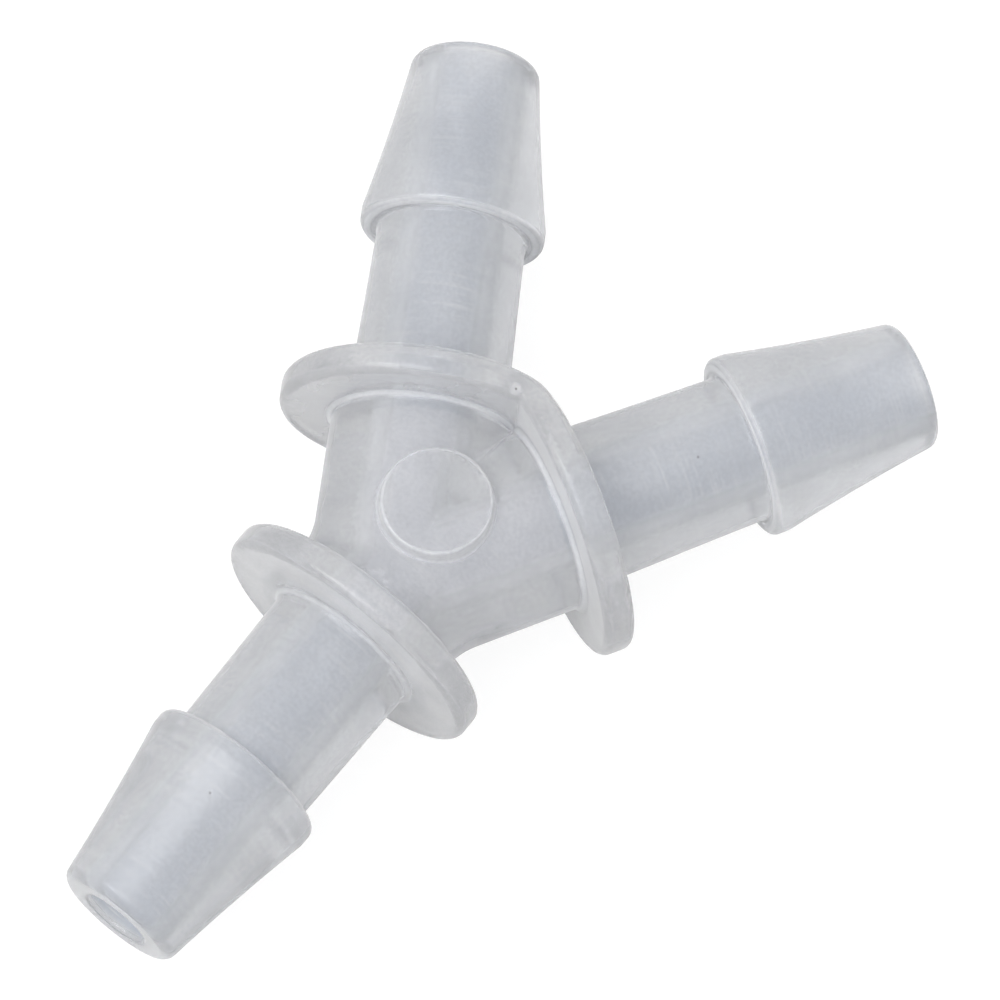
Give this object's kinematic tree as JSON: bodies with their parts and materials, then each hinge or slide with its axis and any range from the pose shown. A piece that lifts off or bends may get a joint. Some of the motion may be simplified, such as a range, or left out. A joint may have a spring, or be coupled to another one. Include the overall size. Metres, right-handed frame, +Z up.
{
  "type": "barbed wye connector",
  "caption": "Sixty-degree wye joining soft small-bore hoses, with a barbed spigot and a hose-stop collar on every arm.",
  "frame": {"origin": "centre of the bounding box's bottom face: the ground under the middle of the moulding, which lies on its three collar rims", "axes": "+Y along the stem's axis from the stem towards the two branches, +Z up out of the plane of the three arms, +X towards the right branch"},
  "size_m": [0.0184, 0.0266, 0.0081],
  "materials": {
    "natural_plastic": "milky translucent natural polypropylene, satin as moulded"
  },
  "bodies": {
    "root": {"hub": "natural_plastic", "front_pad": "natural_plastic", "back_pad": "natural_plastic", "stem_collar": "natural_plastic", "stem_shank": "natural_plastic", "stem_barb": "natural_plastic", "left_collar": "natural_plastic", "left_shank": "natural_plastic", "left_barb": "natural_plastic", "right_collar": "natural_plastic", "right_shank": "natural_plastic", "right_barb": "natural_plastic"}
  },
  "joints": []
}
